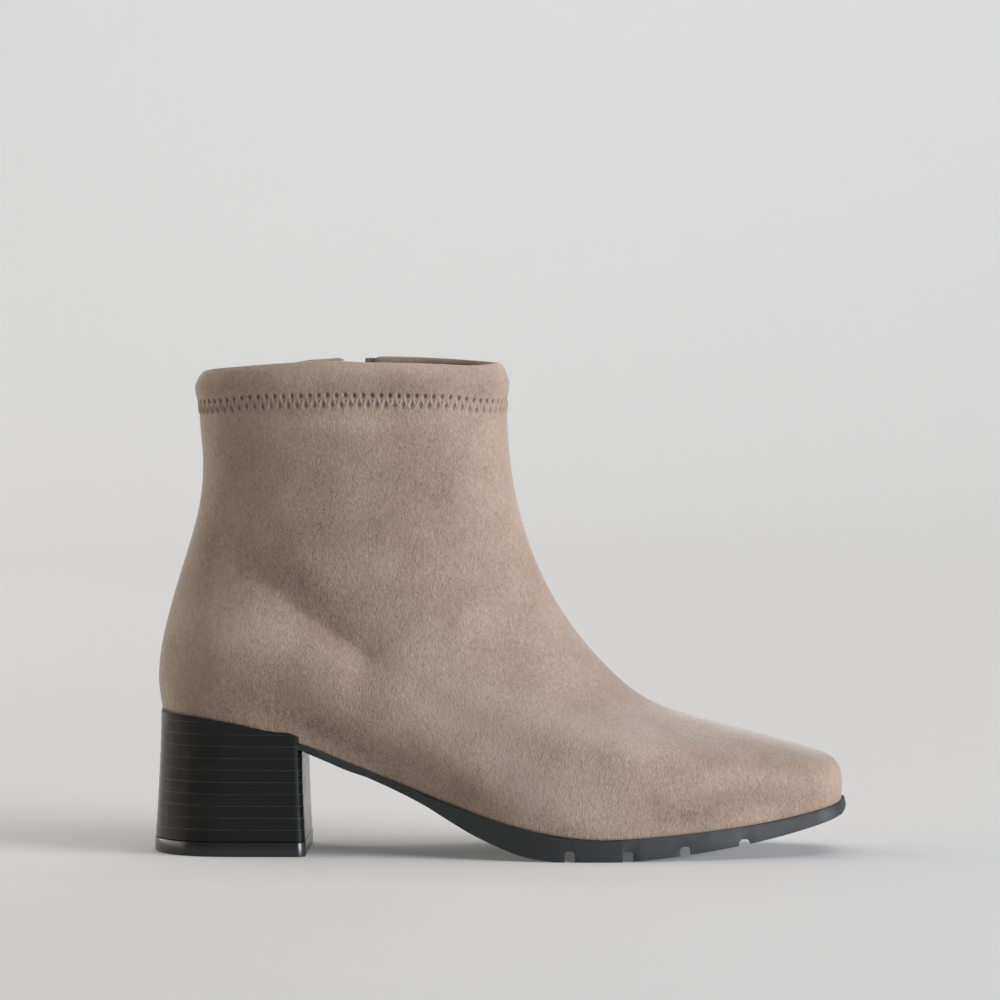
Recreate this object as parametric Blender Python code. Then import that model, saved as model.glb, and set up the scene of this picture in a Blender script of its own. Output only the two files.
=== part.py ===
"""Heeled ankle boot for the right foot: suede upper with an inner-side zip, moulded outsole, block heel.

Sizes are millimetres and become metres when a mesh is made. +X points to the toe, -Y to the outer side of
the foot, +Z up. The origin lies on the floor, under the middle of the boot's box.
"""

import math

import bmesh
import bpy
import numpy as np
from mathutils import Matrix, Vector

MM = 0.001
OUTER, INNER = -1, 1  # side of the foot, as the sign of y

# Driving sizes
SEAM_GAP = 0.3  # between pieces that meet
WALL = 1.8  # upper with its lining
HEM_BULGE = 1.1  # the folded collar stands this proud
STITCH_PINCH = 0.3  # the stitching under the hem pulls the wall in
COLLAR_RISE = 2.8  # the collar's sides stand above its front and back
CENTRE_Y = 2.79  # the heel's centre line lies this far inwards from the middle of the boot's box
TOE_SLANT = 0.08  # the inner corner of the toe lies further forward
TOE_SLANT_X = (70, 115)  # where that starts and is full
HEEL_POWER = 2.1  # roundness of the back of every ring: 2 is an ellipse
SEAT = 2.0  # outsole over the heel block
HEEL_FLANGE, FLANGE = 0.2, 1.3  # outsole edge beyond the upper, at the heel and from the waist forward
FLANGE_X = (-70, -15)  # where it starts to widen and is full
TOE_LEAN = 0.25  # the sole's edge leans with the toe spring
LIFT = 5.2  # top lift
LIFT_EDGE = 0.3  # top lift beyond the heel block
INSOLE = 2.5
INSOLE_INSET = 2.3  # insole edge inside the feather line

# Rings of the last, from the feather line at the sole up to the collar. A ring starts at the back of the
# heel, follows both sides of the foot and ends on the ridge of toe, vamp and shin.
RING_COLUMNS = (
    "back_x", "back_z", "front_x", "front_z", "sag", "shaft", "bulge", "half",
    "toe_round", "toe_power", "heel_round",
)
RINGS = (
    (-122.3, 51.8, 123.1, 19.3, 1.00, 0.00, 1.000, 29.0, 11.0, 3.2, 30.0),  # feather line
    (-123.1, 56.5, 123.5, 24.5, 0.97, 0.03, 1.022, 29.8, 14.0, 3.1, 31.0),  # low wall
    (-123.6, 62.0, 122.7, 30.0, 0.93, 0.07, 1.040, 30.4, 20.0, 3.0, 32.0),  # toe face
    (-123.4, 66.5, 119.6, 34.2, 0.88, 0.12, 1.050, 31.0, 32.0, 2.8, 33.0),  # toe corner
    (-122.9, 71.5, 112.0, 37.2, 0.80, 0.18, 1.055, 31.4, 44.0, 2.6, 34.0),  # toe cap
    (-121.6, 78.5, 97.0, 41.6, 0.66, 0.27, 1.050, 31.6, 60.0, 2.4, 36.0),  # toe box
    (-119.6, 86.5, 79.0, 46.3, 0.51, 0.38, 1.040, 31.6, 82.0, 2.2, 38.0),  # low vamp
    (-117.1, 95.3, 62.0, 50.9, 0.37, 0.50, 1.030, 31.3, 95.0, 2.1, 41.0),  # vamp
    (-114.3, 104.2, 48.8, 57.1, 0.25, 0.62, 1.020, 30.8, 98.0, 2.0, 44.0),  # throat
    (-111.5, 113.3, 34.8, 70.2, 0.14, 0.76, 1.010, 30.3, 92.0, 2.0, 47.0),  # low instep
    (-109.3, 121.5, 23.2, 84.8, 0.06, 0.87, 1.000, 30.0, 82.0, 2.0, 50.0),  # instep
    (-107.8, 130.0, 13.2, 103.0, 0.01, 0.95, 1.000, 29.9, 70.0, 2.0, 52.0),  # ankle
    (-107.3, 139.0, 6.4, 124.0, 0.00, 1.00, 1.000, 30.2, 60.0, 2.0, 53.0),  # low shaft
    (-107.8, 148.5, 3.2, 143.0, 0.00, 1.00, 1.000, 30.8, 56.0, 2.0, 54.0),  # shaft
    (-109.0, 158.5, 2.6, 159.0, 0.00, 1.00, 1.000, 31.5, 55.5, 2.0, 55.0),  # hem seam
    (-109.2, 166.4, 2.4, 167.4, 0.00, 1.00, 1.000, 31.9, 55.5, 2.0, 55.0),  # hem
    (-109.2, 173.2, 2.3, 175.0, 0.00, 1.00, 1.000, 32.0, 55.5, 2.0, 55.0),  # collar
)
SHAFT_RING, SEAM_RING, COLLAR_RING = 11, 14, 16

# Half widths of the last's bottom on each side of the heel's centre line, before its ends are rounded
PLAN_X = (-122, -100, -80, -60, -40, -20, 0, 20, 40, 60, 80, 100, 115, 124)
PLAN_OUTER = (27.0, 27.8, 28.6, 29.2, 30.6, 34.8, 40.0, 44.0, 44.2, 40.4, 34.4, 27.2, 21.6, 18.5)
PLAN_INNER = (26.5, 27.0, 27.0, 25.6, 23.4, 24.6, 29.0, 35.3, 38.8, 38.0, 33.4, 26.4, 20.4, 17.5)

# Side view of the sole: its top edge, where the upper ends, and its underside forward of the heel
FEATHER_X = (-124, -105, -88, -78, -69.5, -58, -42, -25, -8, 6, 20, 36, 56, 79, 100, 112, 126)
FEATHER_Z = (
    51.8, 50.0, 46.9, 44.2, 40.9, 36.2, 29.8, 23.3, 17.3, 12.8, 9.4, 7.8, 8.6, 10.6, 13.4, 15.9, 19.6,
)
WAIST_X = (-78, -69, -58, -45, -31, -17, -3.5, 9, 20)
WAIST_Z = (42.2, 38.1, 33.4, 26.9, 20.3, 13.0, 6.4, 1.7, 0.0)
TREAD_X = (43, 56, 73, 92, 106, 117, 122, 124.8, 127)
TREAD_Z = (0.0, 0.9, 2.9, 6.0, 9.2, 12.4, 14.2, 16.0, 18.6)
GROOVES_X = (25.2, 45.9, 66.2, 87.3)
GROOVES_HIGH = (4.0, 3.5, 3.1, 2.0)
GROOVE_WIDE = 3.8
GROOVE_ROUND = 0.9

# Heel block at its seat and at its foot
HEEL_COLUMNS = ("back_x", "breast_x", "half_outer", "half_inner", "round")
HEEL_SEAT = (-122.4, -70.4, 28.6, 27.2, 30.0)
HEEL_FOOT = (-124.5, -69.2, 28.3, 27.2, 28.0)
HEEL_LEVELS = (0.0, 0.04, 0.35, 0.68, 1.0)  # parts of the way from the seat down
HEEL_CORNER = 1.2  # rounded edge between side and breast

# Zip on the inner side
ZIP_LOW_RING, ZIP_TOP_RING = 5.5, 15.1
ZIP_PLACE_LOW, ZIP_PLACE_TOP = 0.36, 0.518  # parts of the ring's length from the back
SLIT_RINGS = (0.0, ZIP_LOW_RING, 6.0, 6.5, 16.0)  # the slit ends at the second of these
SLIT_HALVES = (7.0, 2.0, 3.8, 4.4, 5.6)  # half widths there; under its end they only space the mesh
TAPE_HALF, TAPE = 11.0, 0.8
TAPE_LOW_RING, TAPE_TOP_RING = 4.6, 15.6
CHAIN_HALF, CHAIN_TOP_HALF, CHAIN_SUNK = 2.75, 2.2, 0.2
SLIDER_BELOW_TOP = 5.5
SLIDER_HALF_WIDE, SLIDER_HALF_LONG, SLIDER_PLATE = 4.0, 4.6, 1.0
SLIDER_FLANGE, SLIDER_FLANGE_DEEP, SLIDER_CLEAR = 0.8, 1.2, 0.5
LUG_WIDE, LUG_LONG, LUG_HALF_GAP = 0.9, 2.6, 2.2
PIN_UP, PIN_OUT, PIN_R = 2.6, 3.0, 0.55
PULL_HALF_NECK, PULL_HALF_WIDE, PULL_LONG, PULL_THICK = 1.8, 3.0, 17.0, 1.1
PULL_LOOP_R, PULL_HOLE_R = 1.3, 0.9
PULL_SHOULDER = 5.0  # below the pin, where the tab reaches its full width
PULL_EYE_R, PULL_EYE_UP = 1.4, 3.2  # hole near the free end

# Mesh fineness
HALF_COLUMNS = 27  # faces along one side of a ring
SLIT_FRONT_COLUMNS = 14  # faces of the inner side in front of the slit; one spans it, the rest lie behind
DENSE = 240  # points that a ring is worked out with
TURN_WEIGHT = 20.0  # mm of length that one radian of turning counts for
TAPE_ROWS, CHAIN_ROWS = 23, 22
HEM_RINGS = (14.0, 14.35, 14.8, 15.3, 15.75, 16.0)
HEM_OFFSETS = (-STITCH_PINCH, 0.25, 0.9, HEM_BULGE, 0.5, -0.9)


def smooth(at, knots, values):
    """A cubic curve through the knots, read at the given places."""
    knots, values, at = np.asarray(knots, float), np.asarray(values, float), np.asarray(at, float)
    step = np.diff(knots)
    rise = np.diff(values) / step
    middle = (rise[:-1] * step[1:] + rise[1:] * step[:-1]) / (step[:-1] + step[1:])
    slope = np.concatenate(([rise[0]], middle, [rise[-1]]))
    i = np.clip(np.searchsorted(knots, at) - 1, 0, len(step) - 1)
    h = step[i]
    u = np.clip((at - knots[i]) / h, 0, 1)
    ends = values[i] * (1 + 2 * u) * (1 - u) ** 2 + values[i + 1] * u**2 * (3 - 2 * u)
    return ends + h * (slope[i] * u * (1 - u) ** 2 - slope[i + 1] * u**2 * (1 - u))


def ease(at, start, end):
    """0 before start, 1 after end, and a soft step between."""
    u = np.clip((np.asarray(at, float) - start) / (end - start), 0, 1)
    return u * u * (3 - 2 * u)


def round_end(distance, length, power):
    """Share of the full width at a distance from a rounded end of that length."""
    u = 1 - np.clip(distance / length, 0, 1)
    return (1 - u**power) ** (1 / power)


def ring_sizes(t):
    """The columns of RINGS read at ring t, which may lie between two rows."""
    rows = np.array(RINGS)
    values = (float(smooth(t, range(len(rows)), rows[:, i])) for i in range(len(RING_COLUMNS)))
    return dict(zip(RING_COLUMNS, values))


def feather_z(x):
    return smooth(x, FEATHER_X, FEATHER_Z)


def plan_point(s, side, t):
    """x and y of ring t at part s of its length, 0 at the back of the heel and 1 at the front."""
    r = ring_sizes(t)
    length = r["front_x"] - r["back_x"]
    x = r["back_x"] + s * length
    plan = smooth(x, PLAN_X, PLAN_OUTER if side == OUTER else PLAN_INNER)
    half = (1 - r["shaft"]) * plan * r["bulge"] + r["shaft"] * r["half"]
    heel_end = round_end(s * length, r["heel_round"], HEEL_POWER)
    toe_end = round_end((1 - s) * length, r["toe_round"], r["toe_power"])
    y = side * half * heel_end * toe_end
    return x + TOE_SLANT * y * ease(x, *TOE_SLANT_X), y + CENTRE_Y


def last_point(s, side, t):
    """Points of the last's surface on ring t, as an array with one row for each s."""
    s = np.asarray(s, float)
    r, sole = ring_sizes(t), ring_sizes(0)
    x, y = plan_point(s, side, t)
    sole_x, _ = plan_point(s, side, 0)
    sole_line = sole["back_z"] + s * (sole["front_z"] - sole["back_z"])
    sag = r["sag"] * (feather_z(sole_x) + SEAM_GAP - sole_line)
    saddle = COLLAR_RISE * np.sin(np.pi * s) * ease(t, SHAFT_RING, COLLAR_RING)
    z = r["back_z"] + s * (r["front_z"] - r["back_z"]) + sag + saddle
    return np.stack([x, y, z], axis=-1)


def even_side(points, count):
    """count + 1 of the points along a curve, closer together where it turns."""
    step = np.diff(points, axis=0)
    length = np.linalg.norm(step, axis=1)
    heading = step / length[:, None]
    turn = np.arccos(np.clip((heading[:-1] * heading[1:]).sum(axis=1), -1, 1))
    weight = length + TURN_WEIGHT * (np.append(turn, 0) + np.insert(turn, 0, 0)) / 2
    along = np.insert(np.cumsum(weight), 0, 0)
    at = np.linspace(0, along[-1], count + 1)
    return np.stack([np.interp(at, along, points[:, i]) for i in range(3)], axis=-1)


def last_ring(t, count=HALF_COLUMNS):
    """Ring t as a closed loop: back of the heel, outer side, front, inner side."""
    s = (1 - np.cos(np.linspace(0, np.pi, DENSE))) / 2
    outer = even_side(last_point(s, OUTER, t), count)
    inner = even_side(last_point(s, INNER, t), count)
    return np.concatenate([outer, inner[-2:0:-1]])


def grid_normals(grid):
    """Outward normals of a stack of rings."""
    around = np.roll(grid, -1, axis=1) - np.roll(grid, 1, axis=1)
    up = np.gradient(grid, axis=0)
    normals = np.cross(around, up)
    return normals / np.linalg.norm(normals, axis=2, keepdims=True)


def outline_offset(points, distance):
    """A closed plan outline moved outwards in x and y by a distance for each point."""
    tangent = np.roll(points, -1, axis=0) - np.roll(points, 1, axis=0)
    normal = np.stack([tangent[:, 1], -tangent[:, 0]], axis=1)
    normal = normal / np.linalg.norm(normal, axis=1, keepdims=True)
    return points[:, :2] + normal * np.reshape(distance, (-1, 1))


def new_object(name, bm, material=None, smooth_angle=35):
    """Links a mesh in millimetres as an object in metres, closed and facing out."""
    bmesh.ops.scale(bm, vec=(MM, MM, MM), verts=bm.verts)
    bmesh.ops.recalc_face_normals(bm, faces=bm.faces)
    mesh = bpy.data.meshes.new(name)
    bm.to_mesh(mesh)
    bm.free()
    mesh.shade_smooth()
    mesh.set_sharp_from_angle(angle=math.radians(smooth_angle))
    if material:
        mesh.materials.append(material)
    obj = bpy.data.objects.new(name, mesh)
    bpy.context.scene.collection.objects.link(obj)
    return obj


def skin(rings, closed=False, open_at=lambda ring, k: False):
    """Faces between loops with the same number of points, apart from those that open_at leaves out."""
    bm = bmesh.new()
    loops = [[bm.verts.new(point) for point in ring] for ring in rings]
    pairs = list(zip(loops, loops[1:])) + ([(loops[-1], loops[0])] if closed else [])
    for ring, (low, high) in enumerate(pairs):
        for k in range(len(low)):
            n = (k + 1) % len(low)
            if not open_at(ring, k):
                bm.faces.new((low[k], low[n], high[n], high[k]))
    return bm, loops


def loft(rings, across=None):
    """A closed solid through the loops, ending in single faces or in strips between a loop's two sides."""
    bm, loops = skin(rings)
    for loop in (loops[0], loops[-1]):
        if across is None:
            bm.faces.new(loop)
            continue
        count = len(loop)
        for k in range(count // 2):
            corners = (loop[k], loop[k + 1], loop[(across - k - 1) % count], loop[(across - k) % count])
            bm.faces.new(list(dict.fromkeys(corners)))
    return bm


def prism(outline, low, high):
    """An outline in two axes, carried from one place to another by functions that give its 3-D points."""
    return loft([[low(*point) for point in outline], [high(*point) for point in outline]])


def boolean(obj, other, operation):
    """Cuts obj by a helper, joins the two or keeps what they share. The helper isn't part of the boot."""
    other.hide_render = True
    other.display_type = "WIRE"
    modifier = obj.modifiers.new(operation.lower() + "_" + other.name, "BOOLEAN")
    modifier.operation = operation
    modifier.solver = "EXACT"
    modifier.object = other


def finish(name, colour, roughness, metallic=0.0):
    material = bpy.data.materials.new(name)
    material.use_nodes = True
    shader = material.node_tree.nodes["Principled BSDF"]
    shader.inputs["Base Color"].default_value = (*colour, 1)
    shader.inputs["Roughness"].default_value = roughness
    shader.inputs["Metallic"].default_value = metallic
    return material


def make_upper(material):
    """The hollow upper: the wall's outside, the rim and the wall's inside, with the slit left open."""
    places = np.concatenate([np.arange(0, SEAM_RING - 0.25, 0.5), HEM_RINGS])
    offsets = np.interp(places, (SEAM_RING - 0.5, *HEM_RINGS), (0, *HEM_OFFSETS))
    base = np.stack([upper_ring(t) for t in places])
    normals = grid_normals(base)
    outside = base + normals * offsets[:, None, None]
    inside = (base - normals * WALL)[:-1]
    inside[0, :, 2] = feather_z(inside[0, :, 0]) + SEAM_GAP
    low, top = int(np.searchsorted(places, ZIP_LOW_RING)), len(places) - 1
    slit = HALF_COLUMNS + SLIT_FRONT_COLUMNS
    bm, loops = skin(
        [*outside, *inside[::-1]], closed=True,
        open_at=lambda ring, k: k == slit and low <= ring < 2 * top - low,
    )
    outer, inner = loops[: top + 1], loops[:top:-1]
    for k in (slit, slit + 1):
        for i in range(low, top - 1):
            bm.faces.new((outer[i][k], outer[i + 1][k], inner[i + 1][k], inner[i][k]))
        bm.faces.new((outer[top - 1][k], outer[top][k], inner[top - 1][k]))
    bm.faces.new((outer[low][slit], outer[low][slit + 1], inner[low][slit + 1], inner[low][slit]))
    return new_object("upper", bm, material)


def upper_ring(t):
    """Ring t as last_ring gives it, with two of its inner points on the edges of the zip's slit."""
    s = zip_place(t)
    shift = np.interp(t, SLIT_RINGS, SLIT_HALVES) / length_per_s(s, t)
    close_to_end = np.linspace(0, 1, DENSE) ** 2
    outer = even_side(last_point((1 - np.cos(np.linspace(0, np.pi, DENSE))) / 2, OUTER, t), HALF_COLUMNS)
    front = even_side(last_point(1 - (1 - s - shift) * close_to_end, INNER, t), SLIT_FRONT_COLUMNS)
    back_columns = HALF_COLUMNS - SLIT_FRONT_COLUMNS - 1
    back = even_side(last_point((s - shift) * close_to_end[::-1], INNER, t), back_columns)
    return np.concatenate([outer, front[1:], back[:-1]])


def length_per_s(s, t):
    """Millimetres along the inner side's ring for one unit of s."""
    near = 1e-3
    return np.linalg.norm(last_point(s + near, INNER, t) - last_point(s - near, INNER, t)) / (2 * near)


def zip_place(t):
    """Part of the ring's length where the zip's middle crosses ring t."""
    way = (t - ZIP_LOW_RING) / (COLLAR_RING - ZIP_LOW_RING)
    return ZIP_PLACE_LOW + (ZIP_PLACE_TOP - ZIP_PLACE_LOW) * way


def wall_frame(t, across=0.0):
    """A point of the inner wall beside the zip's middle, with unit vectors forward, up and outward."""
    near = 1e-3
    s = zip_place(t)
    shift = across / length_per_s(s, t)
    s = s + shift
    forward = last_point(s + near, INNER, t) - last_point(s - near, INNER, t)
    up = last_point(s, INNER, t) - last_point(zip_place(t - near) + shift, INNER, t - near)
    outward = np.cross(up, forward)
    return last_point(s, INNER, t), *(v / np.linalg.norm(v) for v in (forward, up, outward))


def wall_strip(places, section):
    """Loops across the zip: section(t) gives pairs of (distance across, depth under the last's surface)."""
    loops = []
    for t in places:
        frames = [(wall_frame(t, across), depth) for across, depth in section(t)]
        loops.append([frame[0] - frame[3] * depth for frame, depth in frames])
    return loops


def make_zip_tape(material):
    """Woven tape behind the slit, following the inside of the wall."""
    outside, inside = WALL + SEAM_GAP, WALL + SEAM_GAP + TAPE
    columns = np.linspace(-TAPE_HALF, TAPE_HALF, 5)
    section = [(a, outside) for a in columns] + [(a, inside) for a in columns[::-1]]
    places = np.linspace(TAPE_LOW_RING, TAPE_TOP_RING, TAPE_ROWS)
    return new_object("zip_tape", loft(wall_strip(places, lambda t: section)), material)


def make_zip_chain(material):
    """The closed coil, standing in the slit on the tape."""
    section = [
        (-CHAIN_HALF, WALL), (-CHAIN_HALF, WALL / 2), (-CHAIN_TOP_HALF, CHAIN_SUNK),
        (CHAIN_TOP_HALF, CHAIN_SUNK), (CHAIN_HALF, WALL / 2), (CHAIN_HALF, WALL),
    ]
    places = np.linspace(ZIP_LOW_RING + 0.25, ZIP_TOP_RING, CHAIN_ROWS)
    return new_object("zip_chain", loft(wall_strip(places, lambda t: section)), material)


def box(size, centre, name):
    bm = bmesh.new()
    bmesh.ops.create_cube(bm, size=1)
    bmesh.ops.scale(bm, vec=size, verts=bm.verts)
    bmesh.ops.translate(bm, vec=centre, verts=bm.verts)
    return new_object(name, bm)


def rod(radius, half_length, centre, name, sides=16):
    """A round bar along x."""
    bm = bmesh.new()
    bmesh.ops.create_cone(
        bm, cap_ends=True, segments=sides, radius1=radius, radius2=radius, depth=2 * half_length,
        matrix=Matrix.Translation(centre) @ Matrix.Rotation(math.pi / 2, 4, "Y"),
    )
    return new_object(name, bm)


def chain_top_ring():
    """The ring that lies SLIDER_BELOW_TOP under the chain's top end."""
    places = np.linspace(ZIP_TOP_RING - 2, ZIP_TOP_RING, 60)
    points = np.array([wall_frame(t)[0] for t in places])
    return float(np.interp(points[-1, 2] - SLIDER_BELOW_TOP, points[:, 2], places))


def slider_matrix():
    """Place of the slider on the chain's face: x forward along the wall, y out of it, z up the chain."""
    point, forward, up, outward = wall_frame(chain_top_ring())
    forward = np.cross(outward, up)
    origin = (point - outward * CHAIN_SUNK) * MM
    columns = np.stack([forward, outward, up], axis=1)
    return Matrix.Translation(origin) @ Matrix(columns.tolist()).to_4x4()


def make_zip_slider(material, seat):
    """A channel over the chain, with two lugs and the pin that the tab swings on."""
    top = SLIDER_CLEAR + SLIDER_PLATE
    wide, long = 2 * SLIDER_HALF_WIDE, 2 * SLIDER_HALF_LONG
    slider = box((wide, SLIDER_PLATE, long), (0, SLIDER_CLEAR + SLIDER_PLATE / 2, 0), "zip_slider")
    slider.data.materials.append(material)
    deep = SLIDER_FLANGE_DEEP + top
    lug_high = PIN_OUT + 1.0 - SLIDER_CLEAR
    helpers = [rod(PIN_R, LUG_HALF_GAP + LUG_WIDE / 2, (0, PIN_OUT, PIN_UP), "slider_pin")]
    for sign in (-1, 1):
        flange_x = sign * (SLIDER_HALF_WIDE - SLIDER_FLANGE / 2)
        lug_x = sign * (LUG_HALF_GAP + LUG_WIDE / 2)
        lug_y = SLIDER_CLEAR + lug_high / 2
        flange_y = top - deep / 2 - 0.1
        flange = (SLIDER_FLANGE, deep, long - 0.6)
        helpers.append(box(flange, (flange_x, flange_y, 0), f"slider_flange_{sign}"))
        helpers.append(box((LUG_WIDE, lug_high, LUG_LONG), (lug_x, lug_y, PIN_UP), f"slider_lug_{sign}"))
    slider.matrix_world = seat
    for helper in helpers:
        helper.parent = slider
        boolean(slider, helper, "UNION")
    return slider


def make_zip_pull(material, seat):
    """The tab, hanging plumb from the slider's pin; its own origin is on the pin's axis."""
    pin = seat @ Vector((0, PIN_OUT * MM, PIN_UP * MM))
    across = seat.to_3x3().col[0].normalized()
    plumb = (Vector((0, 0, 1)) - across * across.z).normalized()
    hinge = bpy.data.objects.new("zip_pull_hinge", None)
    turn = Matrix((across, plumb.cross(across), plumb)).transposed()
    hinge.matrix_world = Matrix.Translation(pin) @ turn.to_4x4()
    bpy.context.scene.collection.objects.link(hinge)
    half, neck, low = PULL_HALF_WIDE, PULL_HALF_NECK, -PULL_LONG
    side = [(neck, 0), (neck, -PULL_SHOULDER + 1.6), (half, -PULL_SHOULDER), (half, low + half)]
    arc = [(half * math.cos(a), low + half - half * math.sin(a)) for a in np.linspace(0, math.pi, 9)[1:-1]]
    outline = side + arc + [(-x, z) for x, z in side[::-1]]
    thick = PULL_THICK / 2
    tab = prism(outline, lambda x, z: (x, -thick, z), lambda x, z: (x, thick, z))
    pull = new_object("zip_pull", tab, material)
    pull.parent = hinge
    eye = rod(PULL_EYE_R, 4, (0, 0, 0), "pull_eye")
    eye_centre = (0, 0, (low + PULL_EYE_UP) * MM)
    eye.matrix_world = Matrix.Translation(eye_centre) @ Matrix.Rotation(math.pi / 2, 4, "Z")
    loop = rod(PULL_LOOP_R, neck, (0, 0, 0), "pull_loop")
    bore = rod(PULL_HOLE_R, neck + 2, (0, 0, 0), "pull_bore")
    for helper, operation in ((loop, "UNION"), (bore, "DIFFERENCE"), (eye, "DIFFERENCE")):
        helper.parent = hinge
        boolean(pull, helper, operation)
    return pull


def sole_outline(count, offset):
    """The feather line seen from above, moved outwards by offset(x)."""
    ring = last_ring(0, count)
    return outline_offset(ring, offset(ring[:, 0]))


def edge_flange(x):
    """How far the outsole stands beyond the upper: nearly flush at the heel, an edge from the waist on."""
    return HEEL_FLANGE + (FLANGE - HEEL_FLANGE) * ease(x, *FLANGE_X)


def underside_z(x):
    """Underside of the outsole over the heel block and along the waist."""
    return np.where(np.asarray(x) < WAIST_X[0], feather_z(x) - SEAT, smooth(x, WAIST_X, WAIST_Z))


def sole_underside():
    """Side view of the underside from heel to toe, with the grooves cut across it."""
    seat = [(x, float(underside_z(x))) for x in np.arange(-130, -79, 3.0)]
    waist = [(x, float(underside_z(x))) for x in np.linspace(WAIST_X[0], WAIST_X[-1], 40)]
    tread = [(x, float(smooth(x, TREAD_X, TREAD_Z))) for x in np.linspace(TREAD_X[0], TREAD_X[-1], 20)]
    line = seat + waist + tread
    xs, zs = zip(*line)
    half = GROOVE_WIDE / 2
    for x, high in zip(GROOVES_X, GROOVES_HIGH):
        line = [point for point in line if abs(point[0] - x) > half + 0.4]
        left, right = (float(np.interp(edge, xs, zs)) for edge in (x - half, x + half))
        top = (left + right) / 2 + high
        line += [
            (x - half, left), (x - half + 0.001, top - GROOVE_ROUND), (x - half + GROOVE_ROUND, top),
            (x + half - GROOVE_ROUND, top), (x + half - 0.001, top - GROOVE_ROUND), (x + half, right),
        ]
    return sorted(line)


def make_outsole(material):
    """The side view carried across the foot, kept inside the plan outline."""
    under = sole_underside()
    top = [(x, float(feather_z(x))) for x in np.linspace(130, -130, 66)]
    side = under + top
    reach = 70
    bar = prism(side, lambda x, z: (x, -reach, z), lambda x, z: (x, reach, z))
    outsole = new_object("outsole", bar, material)
    plan = sole_outline(40, edge_flange)
    foot, head, level = -6.0, 66.0, 17.0

    def leaning(z):
        return lambda x, y: (x + TOE_LEAN * ease(x, 50, 125) * (level - z), y, z)

    block = prism(plan, leaning(foot), leaning(head))
    boolean(outsole, new_object("sole_plan", block), "INTERSECT")
    return outsole


def heel_outline(sizes, grow=0.0, count=20):
    """Plan outline of the heel block: breast corners, sides and round back, as strips across it."""
    h = dict(zip(HEEL_COLUMNS, sizes))
    back, breast = h["back_x"] - grow, h["breast_x"] + grow
    corner = np.array((0.0, 0.3, 1.0)) * HEEL_CORNER
    way = (1 + np.cos(np.linspace(0, math.pi, count))) / 2
    x = np.concatenate([breast - corner, back + (breast - HEEL_CORNER - back) * way])
    x = np.unique(x.round(6))[::-1]
    front = round_end(breast - x + 0.15 * HEEL_CORNER, HEEL_CORNER, 2) * HEEL_CORNER - HEEL_CORNER
    shape = round_end(x - back, h["round"], HEEL_POWER)
    front = front * (shape > 0.9)
    outer = CENTRE_Y - (h["half_outer"] + grow) * shape - front
    inner = CENTRE_Y + (h["half_inner"] + grow) * shape + front
    return np.stack([x, outer], axis=1), np.stack([x, inner], axis=1)


def heel_rings(levels, grow, height):
    """Closed loops round the heel block at parts of the way down; height(x, level) gives z."""
    loops = []
    for level in levels:
        sizes = np.array(HEEL_SEAT) + (np.array(HEEL_FOOT) - np.array(HEEL_SEAT)) * level
        outer, inner = heel_outline(sizes, grow)
        loop = np.concatenate([outer, inner[-2::-1]])
        loops.append([(x, y, float(height(x, level))) for x, y in loop])
    return loops


def make_heel(material):
    """The block between the outsole's seat and the top lift."""
    foot = LIFT + SEAM_GAP

    def height(x, level):
        return (1 - level) * (underside_z(x) - SEAM_GAP) + level * foot

    loops = heel_rings(HEEL_LEVELS, 0.0, height)
    return new_object("heel", loft(loops, across=-1), material)


def make_top_lift(material):
    """The flat wearing piece that stands on the floor."""
    edge = 0.5
    loops = heel_rings((1.0,), LIFT_EDGE - edge, lambda x, level: 0.0)
    loops += heel_rings((1.0,), LIFT_EDGE, lambda x, level: edge)
    loops += heel_rings((1.0,), LIFT_EDGE, lambda x, level: LIFT)
    return new_object("top_lift", loft(loops, across=-1), material)


def make_insole(material):
    """The footbed, inside the upper and just above the outsole."""
    s = (1 - np.cos(np.linspace(0, math.pi, 49))) / 2
    feather = np.concatenate([last_point(s, OUTER, 0), last_point(s[-2:0:-1], INNER, 0)])
    rings = []
    for above, inset in ((SEAM_GAP, 0.0), (SEAM_GAP + INSOLE - 0.6, 0.0), (SEAM_GAP + INSOLE, 0.6)):
        line = outline_offset(feather, np.full(len(feather), -INSOLE_INSET - inset))
        rings.append([(x, y, float(feather_z(x)) + above) for x, y in line])
    return new_object("insole", loft(rings, across=0), material)


def main():
    for obj in list(bpy.data.objects):
        bpy.data.objects.remove(obj)
    suede = finish("taupe_suede", (0.36, 0.28, 0.23), 0.95)
    rubber = finish("black_rubber", (0.03, 0.032, 0.033), 0.55)
    make_outsole(rubber)
    make_heel(finish("black_stacked_heel", (0.012, 0.013, 0.013), 0.35))
    make_top_lift(rubber)
    make_upper(suede)
    make_insole(finish("footbed_leather", (0.42, 0.33, 0.26), 0.8))
    make_zip_tape(finish("taupe_tape", (0.2, 0.15, 0.12), 0.9))
    make_zip_chain(finish("taupe_coil", (0.17, 0.13, 0.1), 0.5))
    metal = finish("dark_nickel", (0.3, 0.29, 0.28), 0.3, 1.0)
    seat = slider_matrix()
    make_zip_slider(metal, seat)
    make_zip_pull(metal, seat)


main()
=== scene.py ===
# %% [markdown]
# # A suede ankle boot with a block heel
#
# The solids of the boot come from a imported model: upper, outsole, heel, top lift, insole and zip. They
# have the right size and place, but they are plain. This notebook gives each of them the surface of the
# real boot: napped suede with a few soft creases, a zigzag seam under the collar, a coil zip, black
# rubber and a heel with fine stacked lines. Sizes are in millimetres and are multiplied by MM where
# Blender needs metres.

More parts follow.
